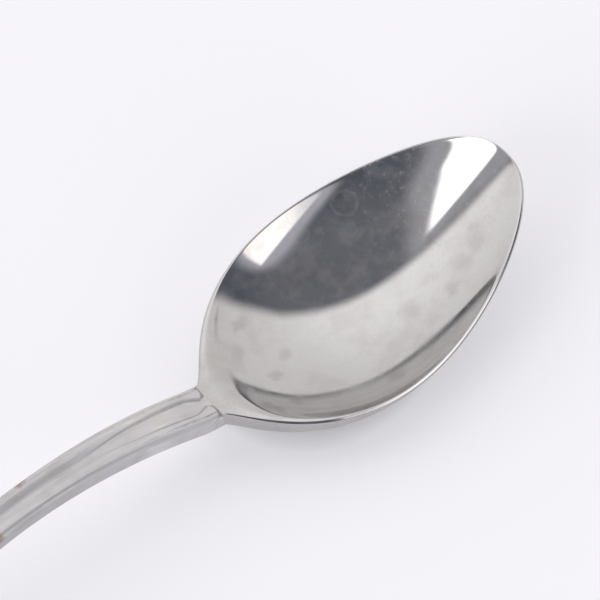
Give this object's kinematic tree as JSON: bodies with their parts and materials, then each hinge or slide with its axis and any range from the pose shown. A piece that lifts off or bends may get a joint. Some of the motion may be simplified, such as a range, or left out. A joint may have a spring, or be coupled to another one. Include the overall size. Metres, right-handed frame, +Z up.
{
  "type": "teaspoon",
  "caption": "Stainless steel teaspoon with an egg-shaped polished bowl, a short neck and an arched handle with a pressed panel and side ribs.",
  "frame": {"origin": "on the table under the middle of the spoon's length and width, as it lies at rest", "axes": "+X along the spoon towards the tip of the bowl, +Y across the bowl, +Z up out of the bowl"},
  "size_m": [0.14, 0.0312, 0.0192],
  "materials": {
    "polished_steel": "mirror polished, lightly smudged",
    "satin_steel": "satin, worn and finely scratched"
  },
  "bodies": {
    "root": {"bowl": "polished_steel", "handle": "satin_steel"}
  },
  "joints": []
}
